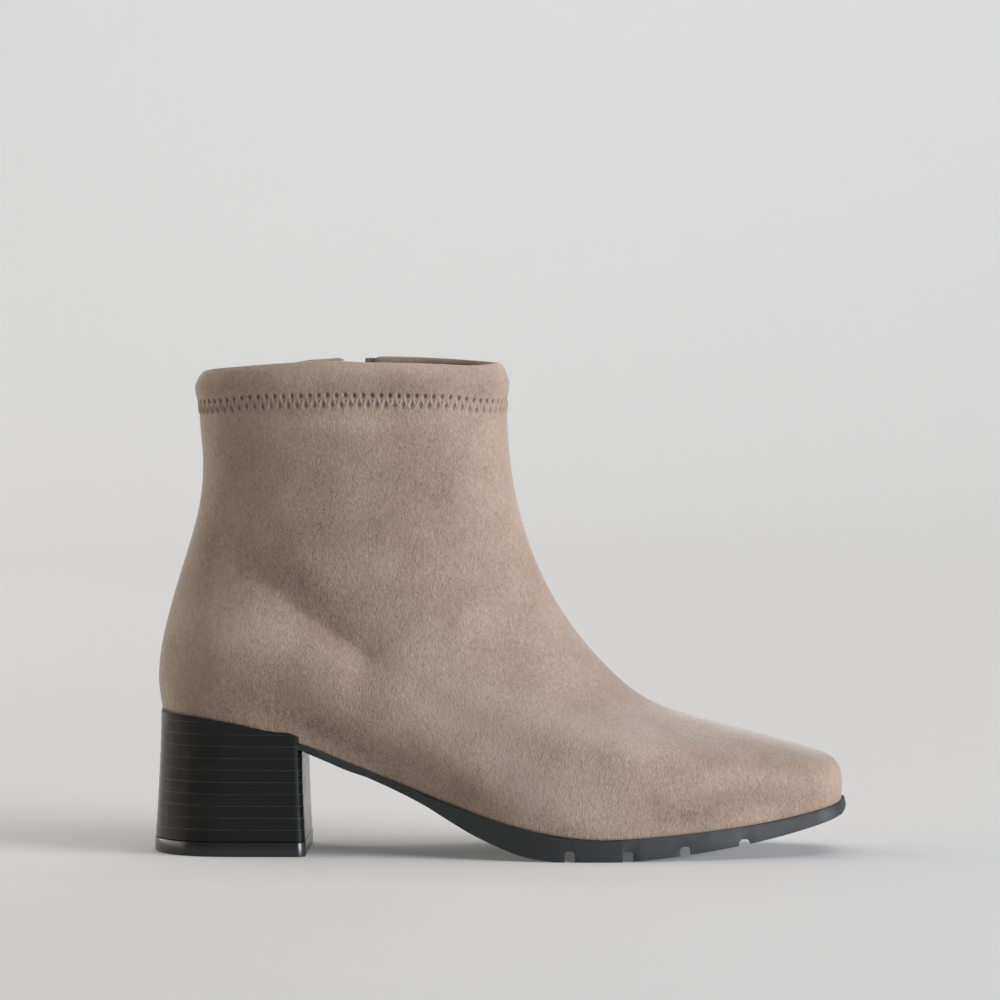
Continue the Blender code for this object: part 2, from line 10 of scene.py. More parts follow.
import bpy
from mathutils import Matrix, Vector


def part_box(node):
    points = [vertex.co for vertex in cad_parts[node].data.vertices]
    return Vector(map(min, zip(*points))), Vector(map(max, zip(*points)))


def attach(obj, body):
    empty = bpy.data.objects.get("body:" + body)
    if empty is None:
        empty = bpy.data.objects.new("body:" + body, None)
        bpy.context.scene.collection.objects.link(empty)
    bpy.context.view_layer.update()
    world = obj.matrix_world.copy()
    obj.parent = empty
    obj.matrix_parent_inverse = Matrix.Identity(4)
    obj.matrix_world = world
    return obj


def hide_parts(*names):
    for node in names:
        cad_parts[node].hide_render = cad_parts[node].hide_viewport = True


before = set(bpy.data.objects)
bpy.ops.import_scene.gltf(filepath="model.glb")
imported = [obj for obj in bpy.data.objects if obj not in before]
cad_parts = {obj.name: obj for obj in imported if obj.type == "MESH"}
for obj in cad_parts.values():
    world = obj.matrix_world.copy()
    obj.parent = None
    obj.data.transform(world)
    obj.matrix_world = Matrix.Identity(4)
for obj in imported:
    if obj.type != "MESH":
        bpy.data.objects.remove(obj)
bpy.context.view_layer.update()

# %% [markdown]
# ## Working by hand, in code
#
# Most steps below do what a modeller does with the mouse: make one object active, go into edit mode,
# pick some points, edges or faces, and run an operator on them. The imported solids are still selected,
# so everything is deselected before anything is picked.

# %% Helpers for picking and for modifiers
import math

import bmesh
import bpy
import numpy as np
from mathutils import Matrix, Vector

MM = 0.001
TINY = 0.01 * MM


def pick(obj):
    """Makes obj the only selected object and the active one."""
    bpy.ops.object.select_all(action="DESELECT")
    obj.select_set(True)
    bpy.context.view_layer.objects.active = obj


def edit(obj, kind):
    """Goes into edit mode on obj with nothing selected; kind is VERT, EDGE or FACE."""
    pick(obj)
    bpy.ops.object.mode_set(mode="EDIT")
    bpy.ops.mesh.select_mode(type=kind)
    bpy.ops.mesh.select_all(action="DESELECT")


def leave_edit():
    bpy.ops.object.mode_set(mode="OBJECT")


def choose(obj, elements, wanted):
    """Selects only the verts, edges or faces that wanted() says yes to, in edit mode, and counts them."""
    bpy.ops.mesh.select_all(action="DESELECT")
    mesh = bmesh.from_edit_mesh(obj.data)
    chosen = [element for element in getattr(mesh, elements) if wanted(element)]
    for element in chosen:
        element.select_set(True)
    mesh.select_flush_mode()
    bmesh.update_edit_mesh(obj.data)
    return len(chosen)


def drag(value, reach, falloff="SMOOTH"):
    """Moves what is selected, in mm, and drags its neighbours along, as proportional editing does."""
    bpy.ops.transform.translate(
        value=[distance * MM for distance in value], use_proportional_edit=True,
        proportional_edit_falloff=falloff, proportional_size=reach * MM,
    )


def join(pieces, name):
    """Joins pieces into the first of them, under a new name."""
    pick(pieces[0])
    for piece in pieces:
        piece.select_set(True)
    bpy.ops.object.join()
    joined = bpy.context.object
    joined.name = joined.data.name = name
    return joined


def apply_modifier(obj, kind, **settings):
    """Adds a modifier with these settings and applies it."""
    pick(obj)
    modifier = obj.modifiers.new(kind.title(), kind)
    for name, value in settings.items():
        setattr(modifier, name, value)
    bpy.ops.object.modifier_apply(modifier=modifier.name)


def subdivide_smoothly(obj, levels):
    apply_modifier(obj, "SUBSURF", levels=levels, render_levels=levels)


# %% [markdown]
# A solid arrives as loose triangles. A copy of it becomes a skin that can be modelled once its doubles
# are merged and its triangles are paired back into quads. The copy drops the labels that mark it as a
# solid.

# %% Copies of the solids


def skin_of(node, name):
    """A merged copy of a solid, in quads where its triangles pair up."""
    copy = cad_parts[node].copy()
    copy.data = copy.data.copy()
    copy.name = copy.data.name = name
    copy.parent = None
    for label in list(copy.keys()):
        del copy[label]
    bpy.context.scene.collection.objects.link(copy)
    copy.data.materials.clear()
    edit(copy, "VERT")
    bpy.ops.mesh.select_all(action="SELECT")
    bpy.ops.mesh.remove_doubles(threshold=0.001 * MM)
    bpy.ops.mesh.customdata_custom_splitnormals_clear()
    bpy.ops.mesh.mark_sharp(clear=True)
    flat = math.radians(170)
    bpy.ops.mesh.tris_convert_to_quads(face_threshold=flat, shape_threshold=flat, topology_influence=2.0)
    leave_edit()
    bpy.ops.object.shade_smooth()
    print(name, "has", len(copy.data.vertices), "points and", len(copy.data.polygons), "faces")
    return copy


# %% [markdown]
# ## The upper
#
# The upper is one soft shell: suede outside, a smooth lining inside, turned over at the collar. Cloth
# simulation would let it sag like cloth, but stiff backed suede keeps the form of the last, so the copy
# of the solid is rounded by subdivision and its few creases are pressed in.

# %% A copy of the upper
upper = skin_of("upper", "suede_upper")

# %% [markdown]
# The inside faces get the lining. They are told apart by a line through the middle of the foot and leg:
# an outside face looks away from that line, and an inside face looks towards it. The top 14 mm of the
# inside stays suede, because the collar is folded over.

# %% Faces of the lining
FOOT_LINE = (
    # x, y, z
    (112, 2, 24), (70, 1, 26), (20, 2, 34), (-30, 3, 52), (-58, 3, 80), (-54, 3, 125), (-53, 3, 170),
)
HEEL_LINE = ((-58, 3, 80), (-102, 3, 60))
FOLD_INSIDE = 14


def nearest_on(lines, point):
    """The nearest point of some chains of straight pieces."""
    best = None
    for line in lines:
        for start, end in zip(line, line[1:]):
            start, end = Vector(start) * MM, Vector(end) * MM
            way = (point - start).dot(end - start) / (end - start).length_squared
            place = start.lerp(end, min(max(way, 0), 1))
            if best is None or (point - place).length < (point - best).length:
                best = place
    return best


def is_inside(face):
    centre = face.calc_center_median()
    middle = nearest_on((FOOT_LINE, HEEL_LINE), centre)
    return face.normal.dot(centre - middle) < 0


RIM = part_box("upper")[1].z


def is_lining(face):
    return is_inside(face) and face.calc_center_median().z < RIM - FOLD_INSIDE * MM


edit(upper, "FACE")
inside_count = choose(upper, "faces", is_lining)
upper.data.materials.append(bpy.data.materials.new("taupe_suede"))
upper.data.materials.append(bpy.data.materials.new("lining_leather"))
upper.active_material_index = 1
bpy.ops.object.material_slot_assign()
leave_edit()
print("lining faces:", inside_count)

# %% [markdown]
# Subdivision would also round the edge that is lasted onto the sole, and leave a gap there. The faces
# of that edge lie within a millimetre of the outsole, so they are easy to find. Their border is
# creased, which keeps it sharp. The edge is let down onto the sole, and in the waist and over the heel
# a little further, because the sole shows a thinner rim there than the solid has. It goes down in
# steps, each a little further back, and the last step brings it up again over the heel.

# %% A sharp edge where the upper meets the sole
LASTED_GAP, LASTED_DOWN = 0.8, 0.3
WAIST_STEPS = (
    # behind x, step down
    (45, 0.25), (25, 0.3), (8, 0.45), (-5, 0.3), (-28, -0.4),
)
HEEL_BACK = -114
outsole_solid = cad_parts["outsole"]


def on_the_sole(face):
    centre = face.calc_center_median()
    place = outsole_solid.closest_point_on_mesh(centre)[1]
    return (place - centre).length < LASTED_GAP * MM


edit(upper, "FACE")
print("lasted edge faces:", choose(upper, "faces", on_the_sole))
bpy.ops.mesh.region_to_loop()
bpy.ops.transform.edge_crease(value=1)
bpy.ops.mesh.select_mode(type="VERT")
mesh = bmesh.from_edit_mesh(upper.data)
lasted = {vertex.index for face in mesh.faces if on_the_sole(face) for vertex in face.verts}
for limit, step in ((math.inf, LASTED_DOWN), *WAIST_STEPS):
    back = -math.inf if limit == math.inf else HEEL_BACK
    choose(upper, "verts", lambda v: v.index in lasted and back < v.co.x / MM < limit)
    bpy.ops.transform.translate(value=(0, 0, -step * MM))
leave_edit()
subdivide_smoothly(upper, 2)
print("suede upper:", len(upper.data.polygons), "faces")

# %% [markdown]
# The collar is a fold, so its edge is fat and round. The points on top of the rim are scaled: inwards
# at the two sides and a little outwards at the front and back, where the fold is squarer. Proportional
# editing bends the last millimetres over with them. The inner face gets a soft roll in the same way.
# The rim isn't level either: parts of it are drawn up a little, beside the zip most.

# %% The collar's edge
OUTER_SIDE, INNER_SIDE = -1, 1
RIM_ZONE, RIM_NORMAL, RIM_SCALE, RIM_BEND = 12, 0.8, (1.012, 0.95, 1), 6
ROLL_SCALE, ROLL_REACH, ROLL_UNDER = (0.96, 0.935, 1), 5, (2.5, 6)
RIM_RISES = (
    # side, from x, to x, rise, reach
    (INNER_SIDE, -47, 0, 1.4, 20),
    (INNER_SIDE, -69, -60, 0.8, 9),
    (OUTER_SIDE, -100, -62, 0.8, 20),
)
shaft_middle = Vector((-53, 2.8, RIM / MM)) * MM


def on_the_rim(vertex):
    return vertex.normal.z > RIM_NORMAL and vertex.co.z > RIM - RIM_ZONE * MM


def on_the_roll(vertex):
    under = (RIM - vertex.co.z) / MM
    inwards = vertex.normal.dot(shaft_middle - vertex.co)
    return ROLL_UNDER[0] < under < ROLL_UNDER[1] and inwards > 0


def draw_in(scale, reach, falloff):
    """Scales what is selected about the middle of the shaft and drags its neighbours along."""
    bpy.ops.transform.resize(
        value=scale, center_override=shaft_middle, use_proportional_edit=True,
        proportional_edit_falloff=falloff, proportional_size=reach * MM,
    )


edit(upper, "VERT")
rim_count = choose(upper, "verts", on_the_rim)
draw_in(RIM_SCALE, RIM_BEND, "SHARP")
roll_count = choose(upper, "verts", on_the_roll)
draw_in(ROLL_SCALE, ROLL_REACH, "SMOOTH")
for side, from_x, to_x, rise, reach in RIM_RISES:
    choose(upper, "verts", lambda v: on_the_rim(v) and v.co.y * side > 0 and from_x < v.co.x / MM < to_x)
    drag((0, 0, rise), reach)
leave_edit()
print("points on the rim:", rim_count, "on the roll inside it:", roll_count)

# %% [markdown]
# The suede has taken a set where the ankle bends. The main crease runs down and forwards from the back
# of the heel, sharp at its bottom, with a roll of suede standing under it. Softer swells and hollows
# lie at the waist and over the toes. Each is a row of points, given by x and height, that is pushed in
# or out while proportional editing drags the neighbours along. The falloff decides the form: SHARP
# draws out a crease, and SMOOTH a soft swell. The far side of the boot bends in the same place, so it
# gets a weaker crease.

# %% Creases
ANKLE_FOLD = ((-94, 102), (-86.4, 99.5), (-78.8, 94.7), (-70.2, 87.5), (-63.5, 83), (-56, 78), (-47.8, 72.7))
WAIST_CREST = ((-62, 62), (-43, 50), (-28, 39), (-14, 31))
WAIST_EDGE = ((-68, 42), (-50, 36), (-34, 30), (-18, 22))
CREASES = (
    # name, side, falloff, push in (minus is out), reach, points (x, z)
    ("ankle fold", OUTER_SIDE, "SHARP", 2.4, 16, ANKLE_FOLD),
    ("ankle hollow", OUTER_SIDE, "SMOOTH", 0.8, 20, ((-94, 106), (-84, 104))),
    ("heel roll", OUTER_SIDE, "SMOOTH", -1.2, 16, ((-104, 80), (-90, 78), (-76, 73), (-64, 66))),
    ("waist swell", OUTER_SIDE, "SMOOTH", -1.5, 18, WAIST_CREST),
    ("waist tuck", OUTER_SIDE, "SMOOTH", 1.3, 14, WAIST_EDGE),
    ("instep swell", OUTER_SIDE, "SMOOTH", -0.6, 14, ((11, 86), (16, 80))),
    ("instep dip", OUTER_SIDE, "SMOOTH", 0.7, 13, ((-4, 80), (6, 68))),
    ("vamp dip", OUTER_SIDE, "SMOOTH", 0.6, 11, ((62, 32), (67, 37), (69, 42))),
    ("toe ridge", OUTER_SIDE, "SMOOTH", -0.5, 9, ((77, 29), (96, 28.6), (114, 28))),
    ("toe hollow", OUTER_SIDE, "SMOOTH", 0.4, 8, ((78, 21), (96, 20.5))),
    ("inner ankle fold", INNER_SIDE, "SHARP", 1.2, 14, ((-88, 100), (-79, 95), (-71, 89))),
)
ROW_WIDTH = 1.5


def near_row(vertex, side, points):
    """Whether a point of the skin lies beside a row of points, seen from that side."""
    if vertex.co.y * side < 0:
        return False
    here = Vector((vertex.co.x, 0, vertex.co.z))
    row = [(x, 0, z) for x, z in points]
    return (here - nearest_on((row,), here)).length < ROW_WIDTH * MM


for name, side, falloff, push, reach, points in CREASES:
    edit(upper, "VERT")
    count = choose(upper, "verts", lambda v: near_row(v, side, points))
    drag((0, -side * push, 0), reach, falloff)
    leave_edit()
    print(name, "moves", count, "points by", push, "mm")

# %% [markdown]
# ## The zigzag seam under the collar
#
# The collar is folded over and sewn down with an elastic zigzag stitch. The solid already has the
# shallow pinch that the stitching pulls into the wall. One ring of edges runs along that pinch, so the
# seam's line is read from the skin itself: pick one of its edges at the front of the shaft and let
# Blender select the whole loop. The stitching sits a little higher than this ring and is arched up on
# both sides, so the loop is raised, and the pinch with it. Its part on the outside, from one side of
# the zip to the other, is the seam's line.

# %% Find the seam's line
SEAM_HEIGHT, SEAM_SLOPE, SEAM_RAISE, SEAM_REACH = 158.8, 0.3, 1.7, 9
SEAM_ARCH, SEAM_ARCH_HALF, SEAM_ARCH_REACH = 1.1, 34, 16
seam_front = Vector((2.3, 2.8, SEAM_HEIGHT)) * MM


def lies_level(edge):
    along = (edge.verts[0].co - edge.verts[1].co).normalized()
    return abs(along.z) < SEAM_SLOPE


def on_the_outside(edge):
    return not any(is_inside(face) for face in edge.link_faces)


edit(upper, "EDGE")
mesh = bmesh.from_edit_mesh(upper.data)
level_edges = [e for e in mesh.edges if lies_level(e) and on_the_outside(e)]
first = min(level_edges, key=lambda e: ((e.verts[0].co + e.verts[1].co) / 2 - seam_front).length)
first.select_set(True)
bmesh.update_edit_mesh(upper.data)
bpy.ops.mesh.loop_multi_select(ring=False)
drag((0, 0, SEAM_RAISE), SEAM_REACH)
mesh = bmesh.from_edit_mesh(upper.data)
seam_edges = {edge.index for edge in mesh.edges if edge.select and on_the_outside(edge)}


def on_the_arch(edge):
    return edge.index in seam_edges and abs(edge.verts[0].co.x - shaft_middle.x) < SEAM_ARCH_HALF * MM


choose(upper, "edges", on_the_arch)
drag((0, 0, SEAM_ARCH), SEAM_ARCH_REACH)
mesh = bmesh.from_edit_mesh(upper.data)
links = {}
for edge in mesh.edges:
    if edge.index in seam_edges:
        a, b = edge.verts
        links.setdefault(a, []).append(b)
        links.setdefault(b, []).append(a)
walk = [max((v for v in links if len(links[v]) == 1), key=lambda v: v.co.x)]
while len(walk) < len(links):
    walk.append(next(v for v in links[walk[-1]] if v not in walk[-2:]))
seam_line = np.array([v.co for v in walk])
leave_edit()
seam_along = np.insert(np.cumsum(np.linalg.norm(np.diff(seam_line, axis=0), axis=1)), 0, 0)
print("seam:", len(seam_line), "points,", round(seam_along[-1] / MM, 1), "mm long")

# %% [markdown]
# A frame at any place along the seam (a point, the way along it, the way out of the wall and the way
# up) lets the stitches be set out with a ruler. The thread's points lie one pitch apart. Its pull makes
# two rows of dimples in the suede: deep ones between the upper points of the thread, inside each
# stitch, and shallow ones between its lower points, where two stitches meet.

# %% Set out the stitches
STITCH_PITCH, STITCH_HIGH, SEAM_END = 3.17, 4.0, 2.0
DIMPLE_ROWS = (
    # part of a pitch, height over the seam's line, half width, half height, depth, painted shade
    (0.5, 1.9, 0.8, 1.25, 0.8, 1.0),
    (0.0, -1.5, 0.8, 1.5, 0.55, 0.55),
)
stitch_count = int((seam_along[-1] / MM - 2 * SEAM_END) / STITCH_PITCH)


def seam_frame(distance):
    """Point, along, out and up at a distance in mm from the seam's start."""
    def place(at):
        return Vector(np.interp(at, seam_along, seam_line[:, i]) for i in range(3))

    at = distance * MM
    along = (place(at + 1 * MM) - place(at - 1 * MM)).normalized()
    out = Vector((0, 0, 1)).cross(along).normalized()
    return place(at), along, out, along.cross(out)


print("stitches:", stitch_count, "of", STITCH_PITCH, "mm")

# %% [markdown]
# The skin is too coarse for dimples of a millimetre, so the band of faces along the seam is divided
# further. A vertex group then says how deep each point lies in a dimple, and a Displace modifier pushes
# the skin in by it. The suede is also darkened in each dimple, most in the deep row, as painted shade;
# this is kept as an attribute, which the suede's finish reads.

# %% Dimples in the suede
BAND, BAND_FACES, BAND_POINTS = 4.3, 8.3, 9.3


def beside_seam(face):
    if face.material_index:
        return False
    centre = np.array(face.calc_center_median())
    if abs(centre[2] / MM - SEAM_HEIGHT - SEAM_RAISE) > BAND_FACES:
        return False
    return np.linalg.norm(seam_line - centre, axis=1).min() < BAND * MM


def bowl(points, centre, along, up, half_wide, half_high):
    """How deep points lie in an oval bowl: 1 at its centre, 0 from its edge on."""
    away = points - np.array(centre)
    wide = away @ np.array(along) / (half_wide * MM)
    high = away @ np.array(up) / (half_high * MM)
    near = np.linalg.norm(away, axis=1) < 2 * max(half_wide, half_high) * MM
    return np.clip(1 - wide**2 - high**2, 0, 1) ** 1.5 * near


edit(upper, "FACE")
band_count = choose(upper, "faces", beside_seam)
bpy.ops.mesh.subdivide(number_cuts=3, smoothness=1)
leave_edit()
points = np.empty(len(upper.data.vertices) * 3)
upper.data.vertices.foreach_get("co", points)
points = points.reshape(-1, 3)
band_points = np.flatnonzero(abs(points[:, 2] / MM - SEAM_HEIGHT - SEAM_RAISE) < BAND_POINTS)
depth, dark = np.zeros(len(points)), np.zeros(len(points))
for part, height, half_wide, half_high, deep, dimple_shade in DIMPLE_ROWS:
    for k in range(stitch_count):
        point, along, out, up = seam_frame(SEAM_END + (k + part) * STITCH_PITCH)
        hollow = bowl(points[band_points], point + up * height * MM, along, up, half_wide, half_high)
        depth[band_points] = np.maximum(depth[band_points], hollow * deep)
        dark[band_points] = np.maximum(dark[band_points], hollow * dimple_shade)
group = upper.vertex_groups.new(name="dimples")
for i in np.flatnonzero(depth):
    group.add([int(i)], float(depth[i]), "REPLACE")
apply_modifier(upper, "DISPLACE", vertex_group="dimples", strength=-1 * MM, mid_level=0.0)
upper.data.attributes.new("dimple", "FLOAT", "POINT").data.foreach_set("value", dark.astype(np.float32))
print("band faces divided:", band_count, "points in dimples:", int((depth > 0).sum()))

# %% [markdown]
# A stitch is two legs of thread, down and up again. Each leg starts as a cylinder; its long edges are
# cut into short ones, and its middle is lifted with proportional editing, so that the ends dip into the
# suede. The finished stitch is copied along the seam, each copy with its own mesh, and the copies are
# joined.

# %% One zigzag stitch
THREAD_RADIUS, THREAD_LIFT, THREAD_SUNK, THREAD_MIDDLE = 0.48, 0.45, 0.75, 0.1


def thread_leg(start_x, lean):
    """One leg of thread from a needle hole in one row to the next hole in the other row."""
    half_step = STITCH_PITCH / 2
    length = math.hypot(half_step, STITCH_HIGH)
    bpy.ops.object.select_all(action="DESELECT")
    bpy.ops.mesh.primitive_cylinder_add(
        vertices=8, radius=THREAD_RADIUS * MM, depth=length * MM, end_fill_type="TRIFAN",
        location=((start_x + half_step / 2) * MM, -THREAD_SUNK * MM, 0),
        rotation=(0, lean * math.atan2(half_step, STITCH_HIGH), 0),
    )
    leg = bpy.context.object
    bpy.ops.object.transform_apply(location=True, rotation=True)
    edit(leg, "EDGE")
    choose(leg, "edges", lambda e: e.calc_length() > length * MM / 2)
    bpy.ops.mesh.subdivide(number_cuts=7)
    bpy.ops.mesh.select_mode(type="VERT")
    choose(leg, "verts", lambda v: abs(v.co.z) < length * THREAD_MIDDLE * MM)
    drag((0, THREAD_LIFT, 0), length / 2, "SPHERE")
    leave_edit()
    bpy.ops.object.shade_smooth()
    return leg


def copies_along(unit, name, places):
    """Copies of unit, each with its own mesh, at (point, x axis, y axis, z axis), joined under a name."""
    made = []
    for point, x_axis, y_axis, z_axis in places:
        copy = unit.copy()
        copy.data = unit.data.copy()
        turn = Matrix((x_axis, y_axis, z_axis)).transposed().to_4x4()
        copy.data.transform(Matrix.Translation(point) @ turn)
        bpy.context.scene.collection.objects.link(copy)
        made.append(copy)
    joined = join(made, name)
    edit(joined, "FACE")
    bpy.ops.mesh.select_all(action="SELECT")
    bpy.ops.mesh.normals_make_consistent(inside=False)
    leave_edit()
    bpy.data.objects.remove(unit)
    print(name, "is", len(places), "copies and", len(joined.data.polygons), "faces")
    return joined


stitch = join([thread_leg(0, -1), thread_leg(STITCH_PITCH / 2, 1)], "stitch")
stitch_places = [seam_frame(SEAM_END + k * STITCH_PITCH) for k in range(stitch_count)]
stitches = copies_along(stitch, "collar_stitches", stitch_places)

# %% [markdown]
# ## The zip on the inner side
#
# The zip lies in a slit of the inner side. Its closed chain is two rows of plastic coil. The solid is a
# plain bar, so the bar's cross sections are read first: they give a line up the zip and, at each place,
# the way across the chain and out of the wall.

# %% Read the zip's line from its solid
SECTION_POINTS = 6


def chain_frames():
    """Middle, across and out of the chain at each cross section of its solid, from the bottom up."""
    corners = np.unique(np.array([v.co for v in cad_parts["zip_chain"].data.vertices]).round(7), axis=0)
    low, high = corners[corners[:, 2].argmin()], corners[corners[:, 2].argmax()]
    order = np.argsort(corners @ (high - low))
    sections = corners[order].reshape(-1, SECTION_POINTS, 3)
    rows = []
    for section in sections:
        middle = section.mean(axis=0)
        axes = np.linalg.svd(section - middle)[2]
        across = axes[0] * np.sign(axes[0][0])
        out = axes[1] * np.sign(axes[1][1])
        rows.append((middle, across, out))
    return rows


chain_rows = chain_frames()
chain_line = np.array([row[0] for row in chain_rows])
chain_along = np.insert(np.cumsum(np.linalg.norm(np.diff(chain_line, axis=0), axis=1)), 0, 0)
print("zip chain:", len(chain_rows), "sections,", round(chain_along[-1] / MM, 1), "mm long")

# %% [markdown]
# A coil's turns look like short rounded bars that reach in from both sides and lock in the middle. One
# bar is a cylinder with its ends rounded by a bevel, flattened a little. Left and right bars are half a
# pitch apart.

# %% Coil turns
COIL_PITCH, COIL_RADIUS, COIL_REACH, COIL_END = 1.5, 0.5, 3.1, 0.8
BAR_ASIDE, BAR_OUT, BAR_ROUND, BAR_SCALE = 1.15, 0.2, 0.3, (1, 1.2, 0.84)


def coil_bar(side):
    bpy.ops.object.select_all(action="DESELECT")
    bpy.ops.mesh.primitive_cylinder_add(
        vertices=8, radius=COIL_RADIUS * MM, depth=COIL_REACH * MM,
        location=(side * BAR_ASIDE * MM, BAR_OUT * MM, 0), rotation=(0, math.pi / 2, 0),
    )
    bar = bpy.context.object
    bpy.ops.object.transform_apply(location=True, rotation=True)
    edit(bar, "EDGE")
    choose(bar, "edges", lambda e: abs(e.verts[0].co.x - e.verts[1].co.x) < TINY)
    bpy.ops.mesh.bevel(offset=BAR_ROUND * MM, segments=2, affect="EDGES")
    bpy.ops.mesh.select_all(action="SELECT")
    bpy.ops.transform.resize(value=BAR_SCALE)
    leave_edit()
    bpy.ops.object.shade_smooth()
    return bar


def chain_place(distance):
    """Point, across, out and up at a distance in mm from the chain's bottom."""
    at = distance * MM

    def between(k):
        return Vector(np.interp(at, chain_along, [row[k][i] for row in chain_rows]) for i in range(3))

    middle, across, out = between(0), between(1), between(2)
    out = (out - across * out.dot(across) / across.length_squared).normalized()
    across.normalize()
    return middle, across, out, across.cross(out)


turns = np.arange(COIL_END, chain_along[-1] / MM - COIL_END, COIL_PITCH)
right_turns = copies_along(coil_bar(1), "right_turns", [chain_place(d) for d in turns])
left_turns = copies_along(coil_bar(-1), "left_turns", [chain_place(d + COIL_PITCH / 2) for d in turns])
coil = join([right_turns, left_turns], "zip_coil")
print("zip coil:", len(coil.data.polygons), "faces")

# %% [markdown]
# The woven tape behind the coil keeps the form of its solid. Its front half ends in a small folded tab
# beside the slit, just under the raised rim, which shows over the near side of the collar. The tab is a
# cube, drawn out, bevelled and then rounded like a pillow by subdivision.

# %% Tape and folded tape end
tape = skin_of("zip_tape", "zip_tape_weave")
bpy.ops.object.shade_smooth_by_angle(angle=math.radians(40))
TAB_SIZE, TAB_X, TAB_Y, TAB_UP, TAB_ROUND = (4.2, 1.5, 9.0), -47.9, 32.0, 0.2, 0.6
tab_middle = Vector((TAB_X, TAB_Y, RIM / MM + TAB_UP - TAB_SIZE[2] / 2)) * MM
bpy.ops.object.select_all(action="DESELECT")
bpy.ops.mesh.primitive_cube_add(size=MM, location=tab_middle, scale=TAB_SIZE)
tape_end = bpy.context.object
tape_end.name = tape_end.data.name = "zip_tape_end"
bpy.ops.object.transform_apply(location=True, scale=True)
edit(tape_end, "EDGE")
bpy.ops.mesh.select_all(action="SELECT")
bpy.ops.mesh.bevel(offset=TAB_ROUND * MM, segments=2, affect="EDGES")
leave_edit()
subdivide_smoothly(tape_end, 2)
bpy.ops.object.shade_smooth()
print("tape end:", len(tape_end.data.polygons), "faces")

# %% [markdown]
# Slider and pull tab are cast metal, so every edge is slightly round. A Bevel modifier that works only
# on sharp edges gives the line of light that runs along such an edge.

# %% Slider and pull


def soften_edges(obj, width, segments=2, angle=35):
    apply_modifier(
        obj, "BEVEL", width=width * MM, segments=segments, limit_method="ANGLE",
        angle_limit=math.radians(angle), harden_normals=False,
    )
    pick(obj)
    bpy.ops.object.shade_smooth_by_angle(angle=math.radians(angle))
    print(obj.name, "has", len(obj.data.polygons), "faces with soft edges")


slider = skin_of("zip_slider", "zip_slider_metal")
soften_edges(slider, 0.22)
pull = skin_of("zip_pull", "zip_pull_metal")
soften_edges(pull, 0.2)

# %% [markdown]
# ## Footbed and outsole
#
# These are firm pieces whose solids have nearly the right form. The sole is made thinner in the waist:
# its upper rim goes down with the suede, and its underside is arched up a little and let down again at
# the heel, while all other points are hidden. Its seat is drawn in, because the heel's cover hides it.
# Both pieces get soft edges: wide ones on the padded footbed, narrow ones on the moulded rubber.

# %% Footbed and outsole
footbed = skin_of("insole", "leather_footbed")
soften_edges(footbed, 0.5)
outsole = skin_of("outsole", "rubber_outsole")
WAIST_ARCH = (
    # from x, to x, step up, reach
    (-42, -26, 1.2, 22), (-80, -55, -0.7, 10),
)
SEAT_FRONT, SEAT_SCALE, SOLE_NORMAL = -69.5, (0.985, 0.94, 1), 0.1
edit(outsole, "VERT")
for limit, step in WAIST_STEPS:
    choose(outsole, "verts", lambda v: v.normal.z > SOLE_NORMAL and HEEL_BACK < v.co.x / MM < limit)
    bpy.ops.transform.translate(value=(0, 0, -step * MM))
choose(outsole, "verts", lambda v: v.normal.z < -SOLE_NORMAL and HEEL_BACK < v.co.x / MM < 0)
bpy.ops.mesh.hide(unselected=True)
for from_x, to_x, step, reach in WAIST_ARCH:
    choose(outsole, "verts", lambda v: not v.hide and from_x < v.co.x / MM < to_x)
    drag((0, 0, step), reach)
bpy.ops.mesh.reveal(select=False)
choose(outsole, "verts", lambda v: v.co.x < SEAT_FRONT * MM)
heel_low, heel_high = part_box("heel")
bpy.ops.transform.resize(value=SEAT_SCALE, center_override=(heel_low + heel_high) / 2)
leave_edit()
soften_edges(outsole, 0.3)

# %% [markdown]
# ## The heel
#
# A line of light runs down the two front corners of the heel, so they are well rounded. The solid has
# only a small rounding there. Each corner is cut off along a slanting plane with Bisect, which also
# fills the cut, and the two edges of the cut are bevelled into a round. Flat faces are merged before
# and after the cut, so that no old edge is in the way. The rubber top lift under the heel has the same
# corners.

# %% Round front corners
CORNER_CUT, CORNER_ROUND, BREAST_LEAN = 2.6, 1.3, 0.036
FLAT_BEFORE, FLAT_AFTER, SHARP_EDGE = (math.radians(angle) for angle in (3, 1, 25))
SIDE_NORMAL, BREAST_NORMAL, STEEP = 0.99, 0.97, 0.9


def round_front_corners(obj, node):
    low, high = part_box(node)

    def down_the_corner(edge):
        a, b = (vertex.co for vertex in edge.verts)
        steep = abs(a.z - b.z) > STEEP * (a - b).length
        in_front = min(a.x, b.x) > high.x - 3 * CORNER_CUT * MM
        return steep and in_front and edge.calc_face_angle(0) > SHARP_EDGE

    edit(obj, "FACE")
    choose(obj, "faces", lambda f: abs(f.normal.y) > SIDE_NORMAL or f.normal.x > BREAST_NORMAL)
    bpy.ops.mesh.dissolve_limited(angle_limit=FLAT_BEFORE)
    for side, side_y in ((OUTER_SIDE, low.y), (INNER_SIDE, high.y)):
        start = (high.x - CORNER_CUT * MM, side_y, low.z)
        bpy.ops.mesh.select_all(action="SELECT")
        bpy.ops.mesh.bisect(
            plane_co=start, plane_no=(1, side, BREAST_LEAN), use_fill=True, clear_outer=True,
        )
    bpy.ops.mesh.select_all(action="SELECT")
    bpy.ops.mesh.dissolve_limited(angle_limit=FLAT_AFTER)
    bpy.ops.mesh.select_mode(type="EDGE")
    count = choose(obj, "edges", down_the_corner)
    bpy.ops.mesh.bevel(offset=CORNER_ROUND * MM, segments=4, affect="EDGES")
    leave_edit()
    print(obj.name, "has", count, "corner edges rounded")


